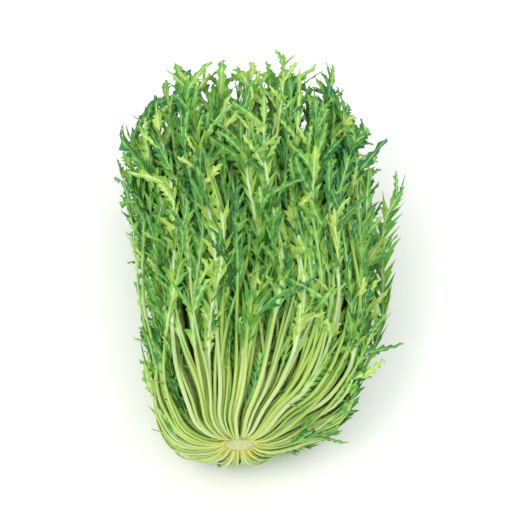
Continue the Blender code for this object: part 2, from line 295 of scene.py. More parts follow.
# %% [markdown]
# ## How the leaves flow
# The leaves leave the crown at every angle and then turn forwards together, so the head is a bowl
# at the root and a brush at the tips. If each leaf had a curve of its own, neighbours would cross
# everywhere. So all of them follow one flow: the angle to the head's axis falls off exponentially
# along the leaf. The floor presses the round head flatter, and slow waves bend it as a whole.

# %% The head's flow
CIRCLE = 2.0 * math.pi
HEAD_REACH = 0.358
FLOW_LENGTH = 1.4 * HEAD_REACH
RINGS = 9
CLEAR = 0.0004
START_ANGLE = math.radians(132)
UNDER_ANGLE = math.radians(7)
SPREAD_ANGLE = math.radians(3.2)
TURN_LENGTH = 0.0505
DRIFT = 0.0175
DRIFT_AT = 0.115
FLAT_UPPER, FLAT_LOWER = 0.63, 0.54
CORNER_DROP = 0.10
PRESS_LENGTH = 0.074
FREE_FROM, FREE_LENGTH = 0.003, 0.030  # past the crown, where the press sets in
SIDE_SHORTENING = 0.26
SWAY_SIZE = np.array([0.0050, 0.0030, 0.0032])
SWAY_WAVES = np.array([[19.0, 31.0, 23.0], [27.0, 17.0, -21.0], [-23.0, 26.0, 15.0]])
SWAY_PHASES = np.array([0.4, 2.1, 4.4])
SWAY_LENGTH = 0.130
CURL_FROM, CURL_LIMIT = 0.72, math.radians(150)
BEND_FROM, LATE_BEND_FROM = 0.55, 0.80
RUN_ON = 0.02  # how far a line is known past its leaf's tip, for lobes that lean over it


def ease(share):
    """A smooth step: 0 below 0, 1 above 1, and 3t^2 - 2t^3 between them."""
    share = np.clip(share, 0.0, 1.0)
    return share * share * (3.0 - 2.0 * share)


def dome(rho, lift=0.0):
    """A ring's place on the crown: a quarter ellipse, at rho of its length from the top.

    Lift is the height over it, along its outward direction, which comes second.
    """
    angle = np.linspace(0.0, 0.5 * math.pi, 200)
    along, out = CROWN_DEPTH * np.cos(angle), CROWN_RADIUS * np.sin(angle)
    length = np.concatenate([[0.0], np.cumsum(np.hypot(np.diff(along), np.diff(out)))])
    t = float(np.interp(rho * length[-1], length, angle))
    normal = np.array([math.cos(t) / CROWN_DEPTH, math.sin(t) / CROWN_RADIUS])
    normal /= np.linalg.norm(normal)
    return np.array([CROWN_DEPTH * math.cos(t), CROWN_RADIUS * math.sin(t)]) + lift * normal, normal


def press(along, out, phi):
    """Carries (along the axis, out from it, angle round it) of a round head into the lying one.

    The height is scaled by a share that differs above and below the axis, the axis bends by
    b e^(1 - b), and sines of the place itself are added. All of it is nothing on the crown.
    """
    free = ease((np.hypot(along, out) - CROWN_DEPTH - FREE_FROM) / FREE_LENGTH)
    flat = FLAT_LOWER + (FLAT_UPPER - FLAT_LOWER) * (0.5 + 0.5 * np.sin(phi))
    squeeze = 1.0 - (1.0 - flat) * ease(along / PRESS_LENGTH) * free
    bend = np.clip(along, 0.0, None) / DRIFT_AT
    x = out * np.cos(phi) + DRIFT * bend * np.exp(1.0 - bend) * free
    corner = np.where(np.sin(phi) < 0.0, np.sin(2.0 * phi) ** 2, 0.0)
    z = CROWN_HEIGHT + out * (np.sin(phi) * squeeze - CORNER_DROP * corner * free)
    points = np.stack([x, along, z], axis=1)
    ramp = free * ease(along / SWAY_LENGTH)
    return points + ramp[:, None] * SWAY_SIZE * np.sin(points @ SWAY_WAVES.T + SWAY_PHASES)


def flow(leaf, steps=240):
    """Lengths s along a leaf, and its (along, out) at each.

    The angle to the axis is spread + (start - spread) e^(-s / turn length), and a late curl adds
    the square of what is left.
    """
    rho, phi = leaf["rho"], leaf["phi"]
    s = np.linspace(0.0, FLOW_LENGTH, steps)
    start = (START_ANGLE + UNDER_ANGLE * max(0.0, -math.sin(phi))) * rho
    spread = SPREAD_ANGLE * rho
    theta = spread + (start - spread) * np.exp(-s / TURN_LENGTH)
    late = np.clip(s / leaf["reach"] - CURL_FROM, 0.0, None)
    theta = np.minimum(theta + leaf["curl"] * late * late, np.maximum(theta, CURL_LIMIT))
    (base_along, base_out), _ = dome(rho, leaf["lift"])
    step = s[1] - s[0]
    along = base_along + np.concatenate([[0.0], np.cumsum(np.cos(theta[1:]) * step)])
    out = base_out + np.concatenate([[0.0], np.cumsum(np.sin(theta[1:]) * step)])
    return s, along, out


def envelope(rho, phi):
    """How far leaves reach along the axis: the head's length, less a cube of the place aside."""
    return HEAD_REACH * (1.0 - SIDE_SHORTENING * abs(rho * math.cos(phi)) ** 3)


print("outer leaves leave the crown at", round(math.degrees(START_ANGLE)), "degrees to its axis")

# %% [markdown]
# ## One leaf's line
# The flow gives the leaf's middle line. A real leaf also has ways of its own: it strays round the
# head, sways, and twists towards its tip. These are added as smooth sums along the line, and all of
# them start past the crown, where the stalks are packed tight.

# %% The head's edges
# How far the head goes out to its left and right, at places along it, and how far its leaves reach
# at places across it. All are in metres from the crown.
HOLD_AT = [-0.018, 0.005, 0.027, 0.050, 0.095, 0.140, 0.185, 0.230, 0.275, 0.298, 0.320, 0.345]
HOLD_LEFT = [0.042, 0.064, 0.070, 0.069, 0.063, 0.059, 0.070, 0.087, 0.094, 0.080, 0.062, 0.050]
HOLD_RIGHT = [0.040, 0.082, 0.093, 0.095, 0.098, 0.102, 0.103, 0.102, 0.099, 0.084, 0.067, 0.050]
HOLD_TOP = 0.135
END_AT = [-0.095, -0.074, -0.053, -0.020, 0.013, 0.034, 0.059, 0.076, 0.088, 0.105, 0.122]
END_REACH = [0.316, 0.338, 0.362, 0.350, 0.358, 0.376, 0.374, 0.350, 0.310, 0.284, 0.248]
END_SLANT = 0.52
GIVE, LOBE_GIVE = 0.25, 0.50  # the share that is kept past an edge, of a leaf's line and of its lobes
SOFT_START, FLOOR_SOFTNESS = 0.003, 0.0007
EXPONENT_LIMIT = 30.0  # of e^x, so that it never overflows
LOBE_ROOM = 0.017
BOX_ROOM = ((0.008, -0.007), (0.0020, 0.0), (0.0, 0.0))  # low and high, for x, y and z
BOWL_AT, BOWL_LENGTH = 0.045, 0.040
BOWL_LEFT, BOWL_RIGHT = 0.10, 0.04  # shares by which the bowl is wider
BOWL_SLANT, BOWL_TUCK = 0.0060, 0.0035
SLANT_RIGHT, SLANT_LEFT = 1.3, 0.20  # shares of the slant, up on the right and down on the left
FLOOR_STEP = 0.0030  # between the heights that neighbouring rings are kept over on the floor


def eased(beyond, give=GIVE):
    """How far to take a place back that is so far beyond a limit, with a soft start."""
    exponent = np.clip(beyond / SOFT_START, -EXPONENT_LIMIT, EXPONENT_LIMIT)
    return (1.0 - give) * SOFT_START * np.log1p(np.exp(exponent))


def hold_edges(points, room=0.0, give=GIVE):
    """Leans points back that lie past the head's left or right edge, or past its slanting end."""
    x, y = points[..., 0].copy(), points[..., 1].copy()
    points[..., 0] += eased(-np.interp(y, HOLD_AT, HOLD_LEFT) - room - x, give)
    points[..., 0] -= eased(x - np.interp(y, HOLD_AT, HOLD_RIGHT) - room, give)
    end = y + END_SLANT * (points[..., 2] - CROWN_HEIGHT) - np.interp(points[..., 0], END_AT, END_REACH)
    points[..., 1] -= eased(end - room, give)
    return points


def hold(points):
    """Leans a line back where it strays out of the head: past a limit it keeps only its share GIVE.

    The limits are the head's edges, its end and its top. The bowl is a little wider than the flow
    makes it, by a bell curve along the head. It is shallower at its right side and below, and a
    little deeper at its left.
    """
    x, y = points[..., 0].copy(), points[..., 1].copy()
    wider = np.where(x < 0.0, BOWL_LEFT, BOWL_RIGHT) * np.exp(-(((y - BOWL_AT) / BOWL_LENGTH) ** 2))
    points[..., 0] += x * wider * ease((np.abs(x) - 0.02) / 0.03)
    points = hold_edges(points)
    sides = SLANT_RIGHT * ease((x - 0.005) / 0.04) - SLANT_LEFT * ease((-x - 0.01) / 0.04)
    below = BOWL_TUCK * ease((CROWN_HEIGHT - points[..., 2] - 0.015) / 0.03)
    points[..., 1] += (BOWL_SLANT * sides + below) * (1.0 - ease(y / 0.03))
    points[..., 2] -= eased(points[..., 2] - HOLD_TOP)
    return points


def settle(points, floor):
    """Keeps a leaf near the model's box, and lays on the floor what would pass below it.

    Past the box and a little room a place keeps only its share GIVE. Heights fade into the floor
    as log(1 + e^h).
    """
    for axis, (low_room, high_room) in enumerate(BOX_ROOM):
        points[..., axis] -= eased(points[..., axis] - cad_box[1][axis] - high_room)
        if axis < 2:
            points[..., axis] += eased(cad_box[0][axis] - low_room - points[..., axis])
    height = (points[..., 2] - floor) / FLOOR_SOFTNESS
    soft_height = np.log1p(np.exp(np.minimum(height, EXPONENT_LIMIT)))
    points[..., 2] = floor + FLOOR_SOFTNESS * np.where(height > EXPONENT_LIMIT, height, soft_height)
    return points


def placed(leaf, points):
    """The finished places of a leaf's skin: within the head's edges, and over the rings below it."""
    if leaf["held"]:
        points = hold_edges(points - crown_foot, LOBE_ROOM, LOBE_GIVE) + crown_foot
    return settle(points, max(0.0, RINGS - 1 - leaf["ring"]) * FLOOR_STEP)


print("the head's widest place, mm:", round(1000 * max(l + r for l, r in zip(HOLD_LEFT, HOLD_RIGHT))))

# %% A leaf's line and directions
LOOSE_FROM, LOOSE_LENGTH = 0.05, 0.20  # where leaves begin to stray, and where they are quite free
BESIDE, BEYOND = 0.02, 0.002  # a small angle and a small distance, to read directions from


def unit(vectors):
    return vectors / np.linalg.norm(vectors, axis=-1, keepdims=True)


def read(s, vectors, where):
    """Vectors that are known at the lengths s, read at the lengths where."""
    return np.stack([np.interp(where, s, vectors[:, i]) for i in range(3)], axis=-1)


def leaf_line(leaf):
    """(lengths, points, sideways, outward, length of the leaf itself), with the crown at its place.

    Sideways is the direction to the neighbour in the same ring, made square to the line. Both
    directions are then turned about the line by the roll and the twist.
    """
    s, along, out = flow(leaf)
    loose = ease((s - LOOSE_FROM) / LOOSE_LENGTH)
    phi = leaf["phi"] + leaf["stray"] * loose
    here = press(along, out, phi)
    beside = press(along, out, phi + BESIDE)
    beyond = press(along, out + BEYOND, phi)
    tangent = unit(np.gradient(here, axis=0))
    side = beside - here if leaf["rho"] > 0.1 else np.cross(beyond - here, tangent)
    side = unit(side - tangent * np.sum(side * tangent, axis=1, keepdims=True))
    outward = np.cross(tangent, side)
    reached = along > leaf["reach"]
    end = int(np.argmax(reached)) if reached.any() else len(s) - 1
    length = s[end - 1]
    share = s / length

    waves, phases, sizes = leaf["sway_waves"], leaf["sway_phases"], leaf["sway_sizes"]
    sway = loose[:, None] * sizes * np.sin(CIRCLE * waves * share[:, None] + phases)
    late = np.clip((share - leaf["bend_from"]) / (1.0 - leaf["bend_from"]), 0.0, None)[:, None] ** 2
    sway = sway + late * leaf["bend"]
    line = here + sway[:, :1] * side + sway[:, 1:] * outward
    if leaf["held"]:
        line = hold(line)
    tangent = unit(np.gradient(line, axis=0))
    side = unit(side - tangent * np.sum(side * tangent, axis=1, keepdims=True))
    outward = np.cross(tangent, side)
    turn = leaf["roll"] * np.clip(share / 0.4, 0.0, 1.0) + leaf["twist"] * ease((share - 0.35) / 0.65)
    turn = turn[:, None]
    rolled = side * np.cos(turn) + outward * np.sin(turn)
    outward = outward * np.cos(turn) - side * np.sin(turn)
    keep = s < length + RUN_ON
    return s[keep], line[keep] + crown_foot, rolled[keep], outward[keep], length


# %% [markdown]
# ## One leaf's surface
# A leaf could be a flat card with a cut-out picture on it, but then its lobes have no edge and no
# bend. Here the leaf is one closed skin: a loop of twelve points carried along the line. On the
# stalk the loop is a rounded gutter. On the blade it opens into a thin sheet with a thick rib, and
# its two edges follow the outline of the lobes. Each lobe leans forwards, because the points slide
# along the line by a share of their distance from the rib.

# %% The outline of the lobes
STALK_WIDTH, STALK_THICKNESS = 0.0038, 0.0028
BASE_WIDTH, BASE_THICKNESS = 0.0030, 0.0024
BASE_LENGTH = 0.030
RIB_WIDTH, RIB_THICKNESS = 0.0026, 0.0018
BLADE_THICKNESS = 0.0005
STALK_STEP = 0.0080
LOBE_PHASES = np.array([0.00, 0.20, 0.32, 0.50, 0.64, 0.80])
LOBE_WIDTHS = np.array([0.04, 0.58, 0.46, 1.00, 0.62, 0.08])
LOBE_ROWS = len(LOBE_PHASES)
POINT_PHASE = 0.50
END_LOBE_FROM = 0.86


def width_profile(share):
    """How wide the lobes are along the blade: small at its foot, widest past the middle, then less."""
    whole = 0.30 + 0.70 * np.sin(math.pi * np.clip(share, 0.0, 1.0) ** 0.9) ** 0.8
    return whole * (1.0 - 0.60 * ease((share - 0.76) / 0.24))


def lobe_side(lobes, lag, rng):
    """One side's lobes, a value for each row: edge, and each lobe's own lean, lift, hook and tone.

    Edges are shares of the blade's half width. Lag is how many rows this side is behind.
    """
    rows = (lobes + 1) * LOBE_ROWS
    sizes = rng.uniform(0.55, 1.10, lobes + 1)
    edge = np.tile(LOBE_WIDTHS, lobes + 1) * rng.uniform(0.88, 1.10, rows)
    own = {
        "edge": np.repeat(sizes, LOBE_ROWS) * edge,
        "lean": np.repeat(rng.uniform(0.70, 1.30, lobes + 1), LOBE_ROWS),
        "lift": np.repeat(rng.normal(0.0, 1.0, lobes + 1), LOBE_ROWS),
        "hook": np.repeat(rng.normal(0.0, 1.0, lobes + 1), LOBE_ROWS),
        "tone": np.repeat(rng.normal(0.0, 0.16, lobes + 1), LOBE_ROWS),
    }
    return {key: values[lag : lag + lobes * LOBE_ROWS] for key, values in own.items()}


def leaf_rows(leaf, length, rng):
    """(places of the rows, left side, right side, lobe phase of each row).

    A lobe is six rows: a notch, a small tooth, a dip, the point and its far side with the next notch.
    """
    bare = leaf["bare"] * length
    stalk = np.linspace(0.0, bare, max(5, int(bare / STALK_STEP)), endpoint=False)
    lobes = max(4, int(round((length - bare) / leaf["pitch"])))
    pitch = (length - bare) / (lobes + 0.1)
    rows = bare + pitch * (np.arange(lobes)[:, None] + LOBE_PHASES).ravel()
    share = (rows - bare) / (length - bare)
    end_share = np.clip((share - END_LOBE_FROM) / (1.0 - END_LOBE_FROM), 0.0, 1.0)
    sides = []
    for lag in (0, leaf["lag"]):
        side = lobe_side(lobes, lag, rng)
        teeth = np.where(np.arange(len(rows)) % 3 == 1, 1.0, rng.uniform(0.45, 0.75, len(rows)))
        last_lobe = 0.05 + leaf["end"] * 1.9 * np.sqrt(end_share) * (1.0 - end_share) * teeth
        side["edge"] = np.maximum(side["edge"], last_lobe)
        sides.append({key: np.concatenate([np.zeros(len(stalk)), side[key]]) for key in side})
    phases = np.tile(np.minimum(np.abs(LOBE_PHASES - POINT_PHASE) / POINT_PHASE, 1.0), lobes)
    phases = np.concatenate([np.ones(len(stalk)), phases])
    return np.concatenate([stalk, rows]), sides[0], sides[1], phases


# %% The skin of a leaf
LOOP = 12
HALF_MAP = np.array([-1.0, -0.6, -RIB_SHARE, 0.0, RIB_SHARE, 0.6, 1.0])
LOOP_MAP = np.concatenate([HALF_MAP, HALF_MAP[5:0:-1]])
BLADE_BEFORE, BLADE_OPENS = 0.008, 0.018  # where the blade begins to open, and over which length
LOBE_SPAN = 0.010  # the distance from the rib that waves and hooks are given for
HOOK_SIZE = 0.0016
PAINT_LENGTH = 0.36  # the length that the paint counts as 1
MAP_SCALE, MAP_SHIFT = 10.0, 3.0


def spread_numbers(shape, **numbers):
    """Numbers given for each row, for each point of the loop or for both, spread over all points."""
    return {key: np.broadcast_to(values, shape) for key, values in numbers.items()}


def leaf_map(shape, across, along, tone):
    """The leaf's own map, across it and along it. Its tone moves it aside, so no two look alike."""
    across = np.broadcast_to(across, shape) + MAP_SHIFT * tone
    return np.stack([across, np.broadcast_to(along * MAP_SCALE, shape)], axis=-1)


def stalk_loop(half, thick):
    """The stalk's cross-section: an ellipse, flatter and with a groove on its inner side."""
    angle = math.pi - np.arange(LOOP) * CIRCLE / LOOP
    across, out = np.cos(angle), np.sin(angle)
    inner = np.where(out < -0.9, 0.35, np.where(out < 0.0, 0.72, 1.0))
    return half[:, None] * across, 0.5 * thick[:, None] * out * inner


def blade_loop(rib, thick, left, right):
    """The blade's cross-section: edges, a thin sheet, and the rib that stands out of its back."""
    thin = np.full(len(rib), 0.5 * BLADE_THICKNESS)
    zero = np.zeros(len(rib))
    middle_left, middle_right = -0.5 * (rib + left), 0.5 * (rib + right)
    across = [-left, middle_left, -rib, zero, rib, middle_right, right]
    across += [middle_right, 0.9 * rib, zero, -0.9 * rib, middle_left]
    shoulder = np.maximum(0.30 * thick, thin)
    out = [zero, thin, shoulder, 0.62 * thick, shoulder, thin, zero]
    out += [-thin, -shoulder, -0.14 * thick - thin, -shoulder, -thin]
    return np.stack(across, axis=1), np.stack(out, axis=1)


def leaf_surface(leaf, rng):
    """Points (row, loop) of one leaf's skin, its tip, and its numbers for the paint.

    A point is line(s + lean d) + a side + (o + h) outward. Here a and o come from the cross-section,
    d is the distance from the rib, and h = (fold + lift) d + wave d^1.3 sin + hook d^2.
    """
    s, line, side, outward, length = leaf_line(leaf)
    rows, left, right, phase = leaf_rows(leaf, length, rng)
    share = np.clip((rows / length - leaf["bare"]) / (1.0 - leaf["bare"]), 0.0, 1.0)
    blade = ease((rows - leaf["bare"] * length + BLADE_BEFORE) / BLADE_OPENS)
    grow = np.clip(rows / BASE_LENGTH, 0.0, 1.0)
    taper = 1.0 - 0.80 * share
    slim = leaf["stout"]
    half = 0.5 * slim * (BASE_WIDTH + (STALK_WIDTH - BASE_WIDTH) * grow) * taper
    thick = slim * (BASE_THICKNESS + (STALK_THICKNESS - BASE_THICKNESS) * grow) * taper
    rib = 0.5 * slim * RIB_WIDTH * taper**1.4
    wide = leaf["width"] * width_profile(share)
    reach = [rib + blade * (0.0004 + way["edge"] * wide) for way in (left, right)]

    stalk_across, stalk_out = stalk_loop(half, thick)
    blade_across, blade_out = blade_loop(rib, slim * RIB_THICKNESS * taper, *reach)
    weight = blade[:, None]
    across = stalk_across + (blade_across - stalk_across) * weight
    out = stalk_out + (blade_out - stalk_out) * weight
    distance = np.maximum(np.abs(across) - rib[:, None], 0.0) * weight

    sign = np.sign(across)
    own = {key: np.where(sign < 0.0, left[key][:, None], right[key][:, None]) for key in left}
    wave = CIRCLE * rows[:, None] / leaf["wave_length"] + leaf["wave_phase"] + 1.3 * sign
    relative = distance / LOBE_SPAN
    out = out + (leaf["fold"] + leaf["flick"] * own["lift"]) * distance
    out = out + leaf["wave"] * relative**1.3 * np.sin(wave) + HOOK_SIZE * own["hook"] * relative**2
    places = np.minimum(rows[:, None] + leaf["lean"] * own["lean"] * distance, s[-1])

    points = read(s, line, places) + across[..., None] * read(s, side, places)
    points = points + out[..., None] * read(s, outward, places)
    tip = read(s, line, np.array([length]))
    numbers = spread_numbers(
        across.shape, blade=weight, across=np.abs(LOOP_MAP), lobe=phase[:, None],
        along=rows[:, None] / PAINT_LENGTH, tone=leaf["tone"] + own["tone"] * weight,
        inner=(np.arange(LOOP) > LOOP // 2) * 1.0,
    )
    own_map = leaf_map(across.shape, LOOP_MAP, rows[:, None], leaf["tone"])
    return placed(leaf, points), placed(leaf, tip), numbers, own_map


# %% [markdown]
# ## The lobes' own leaflets
# Mizuna lobes are long, and cut again into small teeth. Those that stand up out of the leaf, each
# at its own angle, make the head look feathery. They could be branches of the same skin, but that
# would need a far finer mesh everywhere. Here each is a small closed blade of its own, rooted in
# the rib, and worked out in its leaf's directions, so that it bends with the leaf.

# %% A leaflet's surface
LEAFLET_MAP = np.array([-1.0, 0.0, 1.0, 0.0])
LEAFLET_TEETH = 4
LEAFLET_THICKNESS = 0.0007
LEAFLET_LEAN = 0.9
tooth_rows = np.arange(2 * LEAFLET_TEETH + 1)
LEAFLET_STEPS = 0.94 * (tooth_rows / tooth_rows[-1]) ** 0.9
LEAFLET_WIDTHS = 0.22 + np.sin(math.pi * LEAFLET_STEPS**0.75) ** 0.8
LEAFLET_LEFT = LEAFLET_WIDTHS * np.where(tooth_rows % 2 == 0, 0.42, 1.0)
LEAFLET_RIGHT = LEAFLET_WIDTHS * np.where(tooth_rows % 2 == 0, 1.0, 0.42)


def leaflet_surfaces(leaf, count, rng):
    """All of a leaf's leaflets at once, as (points (leaflet, row, loop), tips, numbers, maps).

    At share u of its length l the middle is line(s + l u cos a) + l (u sin a + c u^2) side
    + l (b u + d u^2) out, with a bow c in its plane and a lift b and curl d out of it.
    """
    s, line, side, outward, length = leaf_line(leaf)
    span = rng.uniform(0.016, 0.034, count) * leaf["leaflet_size"]
    first = leaf["bare"] + 0.02
    root = length * (first + (0.97 - first) * rng.uniform(leaf["leaflets_from"], 1.0, count))
    span = np.minimum(span, (s[-1] - root) * 1.05)[:, None]
    angle = rng.uniform(0.25, 0.75, count)[:, None]
    flip = rng.choice([-1.0, 1.0], count)[:, None]
    lift, curl = rng.normal(0.10, 0.35, (count, 1)), rng.normal(0.0, 0.35, (count, 1))
    u = np.append(LEAFLET_STEPS, 1.0)[None, :]
    forward = np.minimum(root[:, None] + span * u * np.cos(angle), s[-1])
    bow = rng.normal(0.0, 0.22, (count, 1))
    beside = (flip * span * (np.sin(angle) * u + bow * u * u))[..., None]
    above = (span * (lift * u + curl * u * u))[..., None]
    middle = read(s, line, forward) + beside * read(s, side, forward)
    middle = middle + above * read(s, outward, forward)
    tangent = unit(np.gradient(middle, axis=1))
    roll = rng.normal(0.0, 0.8, (count, 1, 1))
    width_way = unit(np.cross(tangent, read(s, outward, forward)))
    normal_way = np.cross(width_way, tangent)
    turned = width_way * np.cos(roll) + normal_way * np.sin(roll)
    normal_way = normal_way * np.cos(roll) - width_way * np.sin(roll)

    half = (0.5 * span * rng.uniform(0.22, 0.36, (count, 1)))[..., None]
    left = LEAFLET_LEFT[None, :] * rng.uniform(0.6, 1.35, (count, len(LEAFLET_LEFT)))
    right = LEAFLET_RIGHT[None, :] * rng.uniform(0.6, 1.35, (count, len(LEAFLET_RIGHT)))
    zero = np.zeros_like(left)
    across = np.stack([-left, zero, right, zero], -1)
    out = 0.5 * LEAFLET_THICKNESS * np.array([0.0, 1.0, 0.0, -1.0])
    fold = rng.uniform(-0.2, 0.8, (count, 1, 1))
    reach = across * half
    slide = np.abs(reach)[..., None] * LEAFLET_LEAN
    points = middle[:, :-1, None] + reach[..., None] * turned[:, :-1, None]
    points = points + slide * tangent[:, :-1, None]
    points = points + (out + fold * np.abs(reach))[..., None] * normal_way[:, :-1, None]
    tips = middle[:, -1].copy()

    shape = points.shape[:3]
    tone = leaf["tone"] + rng.normal(0.0, 0.22, (count, 1, 1))
    edge = np.abs(LEAFLET_MAP)
    numbers = spread_numbers(
        shape, blade=1.0, across=0.20 + 0.80 * edge, lobe=1.0 - 0.6 * (edge == 0.0), tone=tone,
        along=root[:, None, None] / PAINT_LENGTH, inner=np.array([0.0, 0.0, 0.0, 1.0]),
    )
    own_map = leaf_map(shape, LEAFLET_MAP, forward[:, :-1, None], tone)
    return placed(leaf, points), placed(leaf, tips), numbers, own_map


# %% [markdown]
# ## From arrays to a mesh
# A loft's faces follow one rule, so they are made as index arrays. The skin is cut into triangles,
# and the back's cuts mirror the front's, so that a thin wavy blade never crosses itself.

# %% Faces and meshes
SHARP_ANGLE = math.radians(70)


def loft_faces(rows, loop=LOOP):
    """Triangles of a loft of loops, closed by a fan at its foot and by one point at its tip."""
    i, j = np.meshgrid(np.arange(rows - 1), np.arange(loop), indexing="ij")
    k = (j + 1) % loop
    a, b, c, d = i * loop + j, i * loop + k, (i + 1) * loop + k, (i + 1) * loop + j
    front = j < loop // 2
    first = np.where(front[..., None], np.stack([a, b, c], -1), np.stack([a, b, d], -1))
    second = np.where(front[..., None], np.stack([a, c, d], -1), np.stack([b, c, d], -1))
    around = np.arange(loop)
    last, tip = (rows - 1) * loop, rows * loop
    end = np.stack([last + around, last + (around + 1) % loop, np.full(loop, tip)], -1)
    foot = np.stack([np.zeros(loop - 2, int), around[2:], around[1:-1]], -1)
    return np.concatenate([first.reshape(-1, 3), second.reshape(-1, 3), end, foot])


def skin_bits(points, tips, numbers, own_map):
    """Many lofts of one size at once, as (points, faces, numbers, map) with a tip after each loft."""
    count, rows, loop = points.shape[:3]
    each = rows * loop + 1
    flat = {}
    for key, values in numbers.items():
        values = values.reshape(count, -1)
        flat[key] = np.concatenate([values, values[:, -1:]], axis=1).ravel()
    own_map = own_map.reshape(count, -1, 2)
    flat_map = np.concatenate([own_map, own_map[:, -1:]], axis=1).reshape(-1, 2)
    points = np.concatenate([points.reshape(count, -1, 3), tips[:, None]], axis=1).reshape(-1, 3)
    faces = loft_faces(rows, loop)[None] + (np.arange(count) * each)[:, None, None]
    return points, faces.reshape(-1, 3), flat, flat_map


def make_mesh(name, points, faces, numbers, own_map, material):
    """An object from whole arrays: places, triangles, one number of each name a point, and a map."""
    mesh = bpy.data.meshes.new(name)
    mesh.vertices.add(len(points))
    mesh.vertices.foreach_set("co", points.astype(np.float32).ravel())
    mesh.loops.add(faces.size)
    mesh.loops.foreach_set("vertex_index", faces.astype(np.int32).ravel())
    mesh.polygons.add(len(faces))
    mesh.polygons.foreach_set("loop_start", np.arange(0, faces.size, 3, dtype=np.int32))
    mesh.update(calc_edges=True)
    for key, values in numbers.items():
        mesh.attributes.new(key, "FLOAT", "POINT").data.foreach_set("value", values.astype(np.float32))
    layer = mesh.uv_layers.new(name="leaf")
    layer.data.foreach_set("uv", own_map[faces.ravel()].astype(np.float32).ravel())
    mesh.shade_smooth()
    mesh.set_sharp_from_angle(angle=SHARP_ANGLE)
    mesh.materials.append(material)
    obj = bpy.data.objects.new(name, mesh)
    bpy.context.scene.collection.objects.link(obj)
    return obj


def build_leaves(name, leaves, rng, material, extra=()):
    """One object from several leaves, and from other ready (points, faces, numbers, map) bits."""
    bits = list(extra)
    for leaf in leaves:
        points, tip, numbers, own_map = leaf_surface(leaf, rng)
        numbers = {key: values[None] for key, values in numbers.items()}
        bits.append(skin_bits(points[None], tip, numbers, own_map[None]))
        if leaf["leaflets"]:
            bits.append(skin_bits(*leaflet_surfaces(leaf, leaf["leaflets"], rng)))
    starts = np.cumsum([0] + [len(bit[0]) for bit in bits[:-1]])
    points = np.concatenate([bit[0] for bit in bits])
    faces = np.concatenate([bit[1] + start for bit, start in zip(bits, starts)])
    numbers = {key: np.concatenate([bit[2][key] for bit in bits]) for key in bits[0][2]}
    own_map = np.concatenate([bit[3] for bit in bits])
    return make_mesh(name, points, faces, numbers, own_map, material)


def add_leaves(name, leaves, rng, slot="leaf_green", extra=(), node=None):
    """Several leaves as one piece on the head's only body, which may stand for a node of the model."""
    piece = build_leaves(name, leaves, rng, leaf_paints[slot], extra)
    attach(piece, "root")
    if node:
        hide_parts(node)


print("triangles of a leaflet:", len(loft_faces(len(LEAFLET_STEPS), len(LEAFLET_MAP))))


# %% [markdown]
# ## The leaves that the model has
# The model's leaves were placed ring by ring with a seeded draw. The same draws in the same order
# give the same leaves here, so each fine leaf lies where the plain one does. The fine habits, such
# as waves and twists, come from a second draw, so they don't disturb the first.

# %% Plan the model's leaves
OUTER_RING_LEAVES = 28
CROWDING = 1.5
LEAVES_PER_SHOOT = 4
SHEATH_THICKNESS = 0.0026
LEAF_ROLL = math.radians(12)
CURL = 0.8
BLADE_HALF_WIDTH = 0.0108
STRAY_LEAF = {"angle": math.radians(8), "reach": 0.240, "curl": 2.6, "roll": math.radians(50)}
STRAY_WIDTH = 1.4
HEAD_SEED = 60
MODEL_LOBES = 24  # the model draws a size for each, which isn't used here
END_ROOM = 0.006
TIP_LOBES = 0.014  # how far the last lobes lean past the end of the midrib
FINE_WIDTH = 1.15  # slender lobes reach a little further than the model's broad ones
HEART_RINGS = 3
HIDDEN_RINGS = 6  # only the tips of their leaves show
UNDERSIDE = -0.35  # leaves below this sine of their angle show little, so they are made plainer


def habit(rng, looseness):
    """What only the fine leaf has: strays, sways, twists, waves and tone. Looseness is 0 to 1."""
    return {
        "stray": rng.normal(0.0, 0.06 + 0.22 * looseness),
        "sway_waves": rng.uniform([0.6, 0.5], [1.4, 1.2]),
        "sway_phases": rng.uniform(0.0, CIRCLE, 2),
        "sway_sizes": rng.uniform(0.3, 1.0, 2) * (0.0030 + 0.0045 * looseness),
        "twist": rng.normal(0.0, 0.70 + 0.50 * looseness),
        "bend": rng.normal(0.0, 0.010 + 0.006 * looseness, 2),
        "bend_from": BEND_FROM,
        "pitch": rng.uniform(0.0120, 0.0200),
        "lag": int(rng.integers(0, LOBE_ROWS)),
        "lean": rng.uniform(1.2, 2.0),
        "end": rng.uniform(0.2, 1.6),
        "leaflets": int(rng.integers(7, 12)),
        "leaflets_from": 0.0,
        "leaflet_size": rng.uniform(0.8, 1.2),
        "wave": rng.uniform(0.0006, 0.0018),
        "wave_length": rng.uniform(0.020, 0.034),
        "wave_phase": rng.uniform(0.0, CIRCLE),
        "flick": rng.uniform(0.20, 0.60),
        "tone": rng.uniform(0.0, 1.0),
        "held": True,
    }


